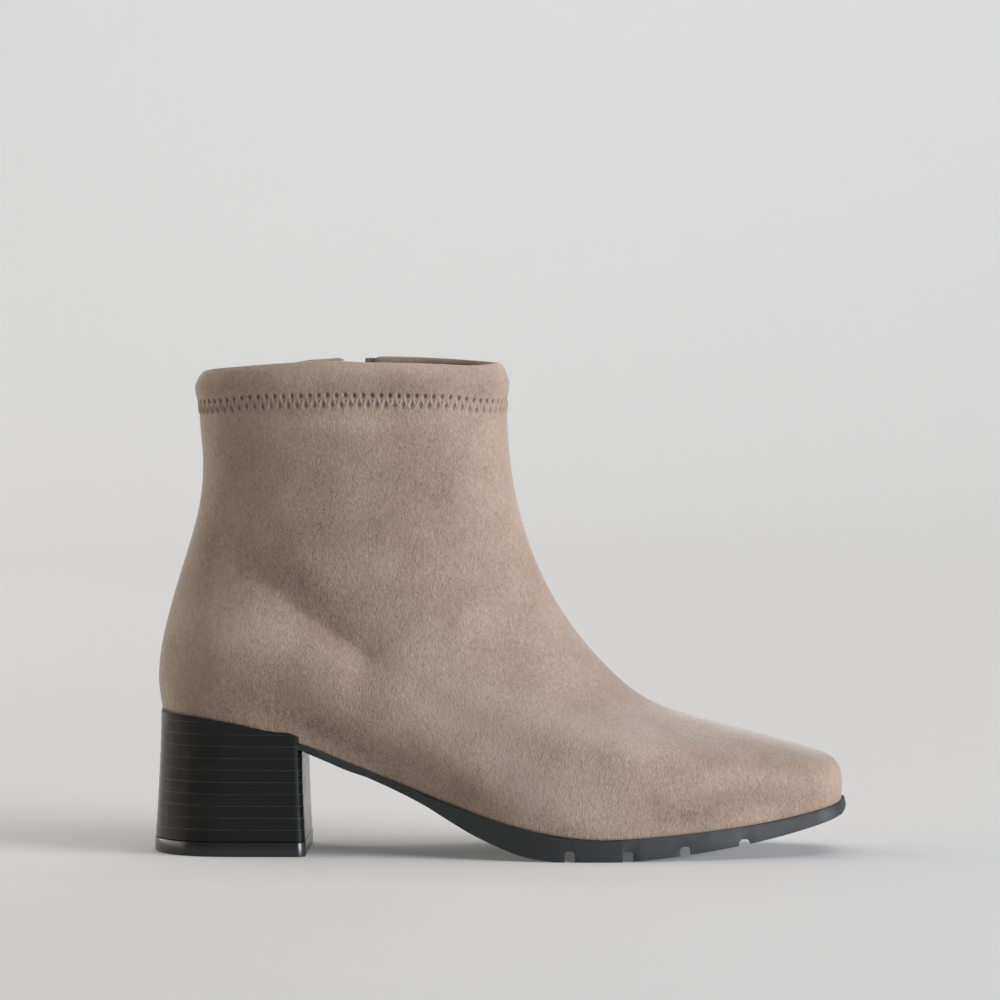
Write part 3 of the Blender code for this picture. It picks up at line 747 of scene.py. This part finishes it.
heel = skin_of("heel", "stacked_heel")
round_front_corners(heel, "heel")
top_lift = skin_of("top_lift", "rubber_top_lift")
round_front_corners(top_lift, "top_lift")
soften_edges(top_lift, 0.3)

# %% [markdown]
# The heel's cover reaches up over the edge of the sole, so that suede meets heel. The solid ends under
# the sole. Its large flat sides are cut into upright strips first, so that they can bend. Then its top
# is raised to the suede, a little more at the front than at the back, and made a little wider. The two
# front corners stand up highest: there the cover ends in a corner beside the thin sole of the waist.

# %% The heel's cover
COVER_UP, COVER_UP_FRONT, COVER_FRONT, COVER_REACH = 1.3, 0.4, -92, 18
COVER_WIDER, TOP_NORMAL, TOP_EDGE_NORMAL = (1.006, 1.03, 1), 0.7, 0.3
CORNER_OVER = 39
CORNER_STEPS = (
    # in front of x, step up, reach
    (-77.5, 1.4, 9), (-74.5, 0.9, 4),
)
CUT_EVERY = 5
edit(heel, "FACE")
for cut in np.arange(heel_low.x / MM + CUT_EVERY, heel_high.x / MM - CUT_EVERY, CUT_EVERY):
    bpy.ops.mesh.select_all(action="SELECT")
    bpy.ops.mesh.bisect(plane_co=(cut * MM, 0, 0), plane_no=(1, 0, 0))
choose(heel, "faces", lambda f: f.normal.z > TOP_NORMAL)
bpy.ops.transform.translate(value=(0, 0, COVER_UP * MM))
bpy.ops.transform.resize(value=COVER_WIDER, center_override=(heel_low + heel_high) / 2)
bpy.ops.mesh.select_mode(type="VERT")
front_count = choose(heel, "verts", lambda v: v.normal.z > TOP_EDGE_NORMAL and v.co.x > COVER_FRONT * MM)
drag((0, 0, COVER_UP_FRONT), COVER_REACH)
for front, step, reach in CORNER_STEPS:
    choose(heel, "verts", lambda v: v.co.z > CORNER_OVER * MM and v.co.x > front * MM)
    drag((0, 0, step), reach, "SHARP")
leave_edit()
print("points of the cover's front edge:", front_count)

# %% [markdown]
# The heel block is made to look like stacked leather: fine lines run round it every 4.3 mm. Lines could
# be painted on, but they catch the light, so they are cut. Level cuts for each line are made with
# Bisect, the middle one last, because Bisect leaves its new edges selected. Pushing those in makes a
# narrow groove, steep above and slanting below, so that each layer has a fine upper edge which shows as
# a pale line.

# %% Stacked lines round the heel
LAYER, TOP_MARGIN, LINE_ABOVE, LINE_BELOW, LINE_DEEP = 4.27, 1, 0.04, 0.14, 0.1
foot_z, seat_z = heel_low.z / MM, heel_high.z / MM
lines = np.arange(foot_z + LAYER, seat_z - TOP_MARGIN, LAYER)
edit(heel, "EDGE")
for line in lines:
    for offset in (LINE_ABOVE, -LINE_BELOW, 0):
        bpy.ops.mesh.select_all(action="SELECT")
        bpy.ops.mesh.bisect(plane_co=(0, 0, (line + offset) * MM), plane_no=(0, 0, 1))
    bpy.ops.transform.shrink_fatten(value=-LINE_DEEP * MM)
leave_edit()
bpy.ops.object.shade_smooth_by_angle(angle=math.radians(20))
print("heel:", len(lines), "lines,", len(heel.data.polygons), "faces")

# %% [markdown]
# ## Finishes
#
# A finish here is a Principled shader, mostly with noise nodes in front of it. All patterns are laid
# out on Object coordinates, so they stay in place from any side, and a noise is given by the size of
# its grain in millimetres. Small helpers keep the node work readable: among them, one adds a node and
# wires it, one makes noise of a given grain size, and one adds up several values by weight.

# %% Helpers for nodes


def finish(name, **values):
    """A material with these values on its shader, as Base_Color for Base Color."""
    material = bpy.data.materials.get(name) or bpy.data.materials.new(name)
    material.use_nodes = True
    shader = material.node_tree.nodes["Principled BSDF"]
    for socket, value in values.items():
        shader.inputs[socket.replace("_", " ")].default_value = value
    return material


def add(material, kind, inputs, **settings):
    """Adds a node; each input gets a value or a wire. Returns the node's outputs."""
    tree = material.node_tree
    node = tree.nodes.new("ShaderNode" + kind)
    for name, value in settings.items():
        setattr(node, name, value)
    for socket, value in inputs.items():
        if isinstance(value, bpy.types.NodeSocket):
            tree.links.new(value, node.inputs[socket])
        else:
            node.inputs[socket].default_value = value
    return node.outputs


def wire(material, output, socket):
    shader = material.node_tree.nodes["Principled BSDF"]
    material.node_tree.links.new(output, shader.inputs[socket])


def noise(material, size, stretch=(1, 1, 1), detail=2):
    """Soft noise with a grain of about size mm, drawn out by stretch along x, y and z."""
    where = add(material, "TexCoord", {})["Object"]
    scale = [1 / (size * MM * longer) for longer in stretch]
    spread = add(material, "Mapping", {"Vector": where, "Scale": scale})["Vector"]
    return add(material, "TexNoise", {"Vector": spread, "Scale": 1.0, "Detail": detail})[0]


def weigh(material, middle, parts):
    """A middle value plus each part times its weight; a part of 0.5 adds nothing."""
    total = middle - sum(weight for part, weight in parts) / 2
    for part, weight in parts:
        total = add(material, "Math", {0: part, 1: weight, 2: total}, operation="MULTIPLY_ADD")[0]
    return total


def shades(material, value, stops):
    """Colours along a value from 0 to 1, as (place, colour) stops."""
    outputs = add(material, "ValToRGB", {"Fac": value})
    ramp = outputs["Color"].node.color_ramp
    while len(ramp.elements) < len(stops):
        ramp.elements.new(0.5)
    for element, (place, colour) in zip(ramp.elements, stops):
        element.position = place
        element.color = (*colour, 1)
    return outputs["Color"]


def relief(material, height, depth, strength=1.0):
    """Bump of a depth in mm from a height of 0 to 1."""
    bump = add(material, "Bump", {"Height": height, "Distance": depth * MM, "Strength": strength})
    wire(material, bump["Normal"], "Normal")


# %% [markdown]
# Suede is leather with its fibres brushed up. A hand that strokes it lays the nap one way or the other,
# and the patch turns lighter or darker. These patches could be left to noise, but the eye knows the
# boot by them, so the main ones are stroked on: each is an oval on one side, with its place, its half
# length and half width, its slope and its tone. The strokes are partly such patches of nap and partly
# painted light and shade: many sit where the shading of the boot should be lighter or darker, as
# along the ankle fold, the waist and the toe, and the long pale strokes on the top of the collar are a
# painted highlight on its rim. They are kept as an attribute of the skin, which the finish then reads.

# %% Strokes of the nap, and of painted light and shade
NAP_AND_SHADE_STROKES = (
    # side, x, z, half length, half width, slope in degrees, tone
    (OUTER_SIDE, -6, 44, 38, 15, -39, 0.27),
    (OUTER_SIDE, -18, 68, 18, 16, -50, 0.08),
    (OUTER_SIDE, 22, 62, 10, 8, -50, 0.1),
    (OUTER_SIDE, 14, 50, 14, 9, -30, 0.14),
    (OUTER_SIDE, 46, 44, 26, 7, -8, 0.26),
    (OUTER_SIDE, 22, 18, 14, 5, -10, 0.12),
    (OUTER_SIDE, 120, 22, 7, 6, 0, -0.12),
    (OUTER_SIDE, -32, 62, 14, 7, -55, 0.12),
    (OUTER_SIDE, -96, 78, 14, 6, 0, 0.14),
    (OUTER_SIDE, -72, 48, 12, 6, -15, -0.14),
    (OUTER_SIDE, -8, 23, 14, 5, -28, -0.22),
    (OUTER_SIDE, -45, 36, 18, 5, -35, -0.12),
    (OUTER_SIDE, -58, 80, 8, 4, -35, -0.14),
    (OUTER_SIDE, -30, 136, 20, 12, 80, -0.1),
    (OUTER_SIDE, 72, 18, 14, 4, 5, -0.1),
    (OUTER_SIDE, 25, 24, 22, 9, -15, 0.18),
    (OUTER_SIDE, -98, 85, 18, 9, -5, 0.18),
    (OUTER_SIDE, -92, 57, 18, 7, -8, -0.18),
    (OUTER_SIDE, -73, 99, 24, 8, -35, -0.17),
    (OUTER_SIDE, -64, 92, 14, 7, -35, -0.1),
    (OUTER_SIDE, -74, 77, 12, 6, -25, 0.12),
    (OUTER_SIDE, -102, 91, 8, 8, 0, 0.1),
    (OUTER_SIDE, -60, 117, 13, 8, 0, -0.12),
    (OUTER_SIDE, 0, 85, 9, 9, 0, 0.15),
    (OUTER_SIDE, -18, 134, 15, 8, 80, -0.17),
    (OUTER_SIDE, -56, 155, 22, 4, 0, 0.17),
    (OUTER_SIDE, -71, 170, 13, 6, 0, 0.13),
    (OUTER_SIDE, -35, 170, 12, 6, 0, -0.15),
    (OUTER_SIDE, -2, 168, 8, 8, 0, -0.1),
    (OUTER_SIDE, 88, 22, 12, 4, 0, -0.16),
    (OUTER_SIDE, 68, 15, 12, 4, 0, -0.14),
    (OUTER_SIDE, 75, 29, 10, 5, 10, 0.2),
    (OUTER_SIDE, -62, 44, 10, 6, -30, -0.17),
    # painted highlight along the top of the collar, outer side, with faint painted shade under it (next
    # three)
    (OUTER_SIDE, -46, 179, 60, 5.5, 0, 0.55),
    (OUTER_SIDE, -50, 166.5, 55, 3.5, 0, -0.05),
    (OUTER_SIDE, -22, 178, 22, 4, 0, 0.1),
    # painted highlight along the top of the collar, inner side
    (INNER_SIDE, -40, 179, 60, 7, 0, 0.5),
    (INNER_SIDE, -70, 92, 26, 9, -35, -0.15),
    (INNER_SIDE, -90, 74, 20, 10, 0, 0.14),
    (INNER_SIDE, 8, 44, 34, 14, -30, 0.18),
    (INNER_SIDE, 72, 30, 16, 7, 0, -0.14),
    (INNER_SIDE, -20, 120, 20, 9, 75, -0.12),
)


def nap_and_shade_tone(skin):
    """The tone that the strokes give to each point of a skin."""
    places = np.empty(len(skin.data.vertices) * 3)
    skin.data.vertices.foreach_get("co", places)
    x, y, z = places.reshape(-1, 3).T / MM
    total = np.zeros(len(x))
    for side, at_x, at_z, half_long, half_wide, slope, tone in NAP_AND_SHADE_STROKES:
        cosine, sine = math.cos(math.radians(slope)), math.sin(math.radians(slope))
        along = (x - at_x) * cosine + (z - at_z) * sine
        across = (z - at_z) * cosine - (x - at_x) * sine
        stroke = np.exp(-((along / half_long) ** 2) - (across / half_wide) ** 2)
        total += tone * stroke * (y * side > 0)
    return total


nap_and_shade_values = nap_and_shade_tone(upper)
upper.data.attributes.new("nap", "FLOAT", "POINT").data.foreach_set("value", nap_and_shade_values.astype(np.float32))
print("nap strokes:", len(NAP_AND_SHADE_STROKES), "tones:", nap_and_shade_values.min().round(2), "to", nap_and_shade_values.max().round(2))

# %% [markdown]
# Suede has no gloss, its edges glow a little because the fibres stand out there (sheen), and a pale
# veil of scattered light lies on it where it is lit (a very rough specular). Besides the strokes, three
# grains make it: patches of brushed nap about 14 mm wide, a mottle of 1.6 mm, and fibres half a
# millimetre thick that are drawn out up the leg.

# %% Suede
# Painted shade in the stitch dimples: the suede's tone is lowered by this much where a dimple is darkest.
DIMPLE_SHADE_TONE = -0.26
suede = finish(
    "taupe_suede", Roughness=0.8, Sheen_Weight=0.6, Sheen_Roughness=0.4, Sheen_Tint=(1.0, 0.98, 0.96, 1),
    Specular_IOR_Level=0.5,
)
brushed = noise(suede, 14, detail=3)
mottle = noise(suede, 1.6, stretch=(1, 1, 1.3), detail=2)
fibres = noise(suede, 0.55, stretch=(1, 1, 1.8), detail=2)
tone = weigh(suede, 0.5, [(brushed, 0.4), (mottle, 0.35), (fibres, 0.6)])
# The strokes bring in the nap's patches together with painted light and shade.
strokes = add(suede, "Attribute", {}, attribute_name="nap")["Fac"]
tone = add(suede, "Math", {0: strokes, 1: tone}, operation="ADD")[0]
# painted shade in the stitch dimples
dimples = add(suede, "Attribute", {}, attribute_name="dimple")["Fac"]
tone = add(suede, "Math", {0: dimples, 1: DIMPLE_SHADE_TONE, 2: tone}, operation="MULTIPLY_ADD")[0]
suede_shades = [
    (0.0, (0.05, 0.034, 0.023)), (0.3, (0.222, 0.157, 0.109)),
    (0.5, (0.293, 0.213, 0.153)), (0.8, (0.4, 0.31, 0.243)),
]
wire(suede, shades(suede, tone, suede_shades), "Base Color")
relief(suede, weigh(suede, 0.5, [(fibres, 0.6), (mottle, 0.5)]), 0.35)
print("suede nodes:", len(suede.node_tree.nodes))

# %% [markdown]
# The thread is the suede's own colour, a little smoother. The lining and footbed are thin smooth
# leather with small pores.

# %% Thread, lining and footbed
thread = finish("taupe_thread", Roughness=0.7, Sheen_Weight=0.2, Sheen_Roughness=0.5)
thread_tone = noise(thread, 0.4)
thread_shades = [(0.2, (0.21, 0.155, 0.118)), (0.8, (0.34, 0.257, 0.2))]
wire(thread, shades(thread, thread_tone, thread_shades), "Base Color")


def smooth_leather(name, dark, light):
    leather = finish(name, Roughness=0.6, Specular_IOR_Level=0.3)
    grain = noise(leather, 0.9, detail=3)
    cloud = noise(leather, 18, detail=2)
    tone = weigh(leather, 0.5, [(grain, 0.5), (cloud, 0.6)])
    wire(leather, shades(leather, tone, [(0.2, dark), (0.8, light)]), "Base Color")
    relief(leather, grain, 0.12)
    return leather


lining = smooth_leather("lining_leather", (0.26, 0.2, 0.155), (0.36, 0.28, 0.22))
footbed_leather = smooth_leather("footbed_leather", (0.36, 0.28, 0.22), (0.48, 0.38, 0.3))
print("leathers:", lining.name, footbed_leather.name)

# %% [markdown]
# The sole is black moulded rubber: half matt, with a fine sandy texture and a slightly uneven sheen.
# The heel is smoother and blacker, with faint streaks that run level round it, as the edges of stacked
# layers do. A thin paler line along the upper edge of each layer is a painted highlight, where the
# edge under each groove catches the light. The top lift under the heel is rubber too, but trimmed and
# buffed together with the heel, so it is nearly as smooth.

# %% Rubber and heel finish
HIGHLIGHT_EDGE, HIGHLIGHT_TONE = 0.3, 0.5
rubber = finish("black_rubber", Base_Color=(0.022, 0.024, 0.024, 1), Specular_IOR_Level=0.45)
sand = noise(rubber, 0.35, detail=2)
wear = noise(rubber, 9, detail=3)
wire(rubber, weigh(rubber, 0.6, [(sand, 0.12), (wear, 0.08)]), "Roughness")
relief(rubber, sand, 0.05)

stacked = finish("black_stacked_heel", Specular_IOR_Level=0.25)
streaks = noise(stacked, 0.6, stretch=(40, 40, 1), detail=3)
cloud = noise(stacked, 12, stretch=(1.5, 1.5, 1), detail=2)
height = add(stacked, "SeparateXYZ", {"Vector": add(stacked, "TexCoord", {})["Object"]})["Z"]
per_metre = 1 / (LAYER * MM)
layers = add(stacked, "Math", {0: height, 1: per_metre, 2: -foot_z / LAYER}, operation="MULTIPLY_ADD")[0]
part = add(stacked, "Math", {0: layers}, operation="FRACT")[0]
# painted highlight: the top of each layer, under its groove, is made paler
edge_highlight = add(stacked, "Math", {0: part, 1: 1 - HIGHLIGHT_EDGE / LAYER}, operation="GREATER_THAN")[0]
tone = add(stacked, "Math", {0: edge_highlight, 1: HIGHLIGHT_TONE, 2: streaks}, operation="MULTIPLY_ADD")[0]
black_shades = [
    (0.3, (0.004, 0.0043, 0.0042)), (0.7, (0.008, 0.0084, 0.0081)), (1.0, (0.03, 0.031, 0.03)),
]
wire(stacked, shades(stacked, tone, black_shades), "Base Color")
wire(stacked, weigh(stacked, 0.2, [(streaks, 0.06), (cloud, 0.1)]), "Roughness")
relief(stacked, streaks, 0.03)
lift_rubber = finish("black_lift_rubber", Base_Color=(0.02, 0.021, 0.021, 1), Specular_IOR_Level=0.4)
wire(lift_rubber, weigh(lift_rubber, 0.26, [(noise(lift_rubber, 6, detail=3), 0.03)]), "Roughness")
print("black finishes:", rubber.name, stacked.name, lift_rubber.name)

# %% [markdown]
# The zip has three finishes: a woven tape, whose weave is two sets of fine waves across each other, a
# plastic coil, and dark nickel with a faint uneven polish.

# %% Zip finishes
WARP_SCALE, WEFT_SCALE = 260.0, 320.0
weave = finish("taupe_tape", Roughness=0.9, Sheen_Weight=0.3, Specular_IOR_Level=0.2)
where = add(weave, "TexCoord", {})["Object"]
warp = add(weave, "TexWave", {"Vector": where, "Scale": WARP_SCALE}, bands_direction="X")["Fac"]
weft = add(weave, "TexWave", {"Vector": where, "Scale": WEFT_SCALE}, bands_direction="Z")["Fac"]
threads = weigh(weave, 0.5, [(warp, 0.5), (weft, 0.5)])
weave_shades = [(0.1, (0.18, 0.135, 0.104)), (0.9, (0.28, 0.212, 0.166))]
wire(weave, shades(weave, threads, weave_shades), "Base Color")
relief(weave, threads, 0.15)

plastic = finish("taupe_coil", Roughness=0.38)
plastic_tone = noise(plastic, 1.5)
plastic_shades = [(0.3, (0.14, 0.105, 0.083)), (0.7, (0.19, 0.145, 0.115))]
wire(plastic, shades(plastic, plastic_tone, plastic_shades), "Base Color")

nickel = finish("dark_nickel", Metallic=1.0)
polish = noise(nickel, 1.2, detail=3)
nickel_shades = [(0.3, (0.29, 0.28, 0.27)), (0.7, (0.34, 0.33, 0.32))]
wire(nickel, shades(nickel, polish, nickel_shades), "Base Color")
wire(nickel, weigh(nickel, 0.28, [(polish, 0.1)]), "Roughness")
print("zip finishes:", weave.name, plastic.name, nickel.name)

# %% [markdown]
# ## Put the boot together
#
# Each piece takes its finish, rides on the body that carries it and, where it stands for a solid,
# replaces that solid in the picture. Only the pull tab moves: it rides on its own body.

# %% Finishes, bodies and solids
DRESSING = (
    # piece, finish, body, solid that it stands for, slot
    (upper, None, "boot", "upper", "suede"),
    (stitches, thread, "boot", None, "suede"),
    (outsole, rubber, "boot", "outsole", "sole_rubber"),
    (heel, stacked, "boot", "heel", "heel_block"),
    (top_lift, lift_rubber, "boot", "top_lift", "sole_rubber"),
    (footbed, footbed_leather, "boot", "insole", "footbed"),
    (tape, weave, "boot", "zip_tape", "zip_tape"),
    (tape_end, weave, "boot", None, "zip_tape"),
    (coil, plastic, "boot", "zip_chain", "zip_coil"),
    (slider, nickel, "boot", "zip_slider", "zip_metal"),
    (pull, nickel, "pull", "zip_pull", "zip_metal"),
)
for piece, material, body, solid, slot in DRESSING:
    if material:
        piece.data.materials.clear()
        piece.data.materials.append(material)
    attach(piece, body)
    if solid:
        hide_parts(solid)
    triangles = sum(len(face.vertices) - 2 for face in piece.data.polygons)
    print(piece.name, "rides on", body, "with", triangles, "triangles")

# %% [markdown]
# ## Light, camera and floor
#
# The boot stands on a pale seamless sweep: a floor that curves up into a backdrop. A plane is extruded
# up at its far edge and the corner is rounded by a bevel, so no line shows where the floor ends. The
# sheet glows faintly, as white acrylic lit from below does, which keeps the shadow under the arch pale.

# %% The sweep
SWEEP_SIZE, SWEEP_BACK, SWEEP_HIGH, SWEEP_ROUND, SWEEP_NEAR = 10.0, 4.4, 4.0, 2.4, 0.01


def at_the_back(edge):
    return all(vertex.co.y > SWEEP_BACK - SWEEP_NEAR for vertex in edge.verts)


def in_the_corner(edge):
    return at_the_back(edge) and all(vertex.co.z < SWEEP_NEAR for vertex in edge.verts)


bpy.ops.object.select_all(action="DESELECT")
bpy.ops.mesh.primitive_plane_add(size=SWEEP_SIZE, location=(0, SWEEP_BACK - SWEEP_SIZE / 2, 0))
sweep = bpy.context.object
sweep.name = "studio_sweep"
bpy.ops.object.transform_apply(location=True)
edit(sweep, "EDGE")
choose(sweep, "edges", at_the_back)
bpy.ops.mesh.extrude_edges_move(TRANSFORM_OT_translate={"value": (0, 0, SWEEP_HIGH)})
choose(sweep, "edges", in_the_corner)
bpy.ops.mesh.bevel(offset=SWEEP_ROUND, segments=24, affect="EDGES")
leave_edit()
bpy.ops.object.shade_smooth()
paper = finish(
    "pale_paper", Base_Color=(0.745, 0.745, 0.742, 1), Roughness=0.9, Specular_IOR_Level=0.1,
    Emission_Color=(1, 1, 1, 1), Emission_Strength=0.093,
)
sweep.data.materials.append(paper)
print("sweep:", len(sweep.data.polygons), "faces")

# %% [markdown]
# The picture is taken from the outer side of the boot with a long lens, two metres away and a little
# above the collar, so the view is almost a side elevation.

# %% Camera
CAMERA_AT = (36.7, -2096.9, 210.0)
LOOKS_AT = (-0.18, 2.79, 126.39)
LENS, SENSOR = 210, 36


def aim(obj, target):
    obj.rotation_euler = (Vector(target) - obj.location).to_track_quat("-Z", "Y").to_euler()


camera = bpy.data.objects.new("camera", bpy.data.cameras.new("camera"))
bpy.context.scene.collection.objects.link(camera)
camera.location = Vector(CAMERA_AT) * MM
aim(camera, Vector(LOOKS_AT) * MM)
camera.data.lens = LENS
camera.data.sensor_width = SENSOR
bpy.context.scene.camera = camera
print("camera at", [round(v, 3) for v in camera.location])

# %% [markdown]
# The light is a soft studio. A low, wide strip on the right is the key. It is a little cooler than the
# rest, so the lit side of the suede turns paler and greyer. Two boxes above light the floor, a panel
# and a low strip on the left draw a grey band down the back of the heel, and a wash lights the
# backdrop. The side of the room behind the camera stays dark, which makes the black heel look black.

# %% Lights


def soft_box(name, at, target, wide, high, watts, tint=(1, 1, 1)):
    lamp = bpy.data.lights.new(name, "AREA")
    lamp.shape = "RECTANGLE"
    lamp.size, lamp.size_y, lamp.energy, lamp.color = wide, high, watts, tint
    box = bpy.data.objects.new(name, lamp)
    bpy.context.scene.collection.objects.link(box)
    box.location = at
    aim(box, target)
    return box


COOL, WARMISH, WARM = (0.955, 0.985, 1.075), (1.03, 1.0, 0.95), (1.06, 1.0, 0.91)
soft_box("key_strip", (2.18, -1.01, 0.38), (0, 0, 0.1), 1.6, 0.66, 84, COOL)
soft_box("top_front_box", (0.92, -0.77, 2.16), (0, 0, 0.08), 1.3, 1.3, 8, WARMISH)
soft_box("top_box", (0.1, 0.0, 2.4), (0.05, 0.1, 0), 3.0, 3.0, 12, WARMISH)
soft_box("left_panel", (-2.12, 0.49, 1.09), (0, 0, 0.08), 3.0, 2.2, 19, WARM)
soft_box("left_strip", (-2.25, 0.55, 0.36), (0, 0, 0.06), 2.8, 0.6, 15, WARM)
soft_box("backdrop_wash", (0.0, 1.6, 3.4), (0, 4.4, 1.4), 4.0, 1.0, 68)
world = bpy.data.worlds.new("room")
bpy.context.scene.world = world
world.use_nodes = True
room = world.node_tree.nodes["Background"]
room.inputs["Color"].default_value = (0.95, 0.97, 1.0, 1)
room.inputs["Strength"].default_value = 0.01
bpy.context.scene.view_settings.view_transform = "Standard"
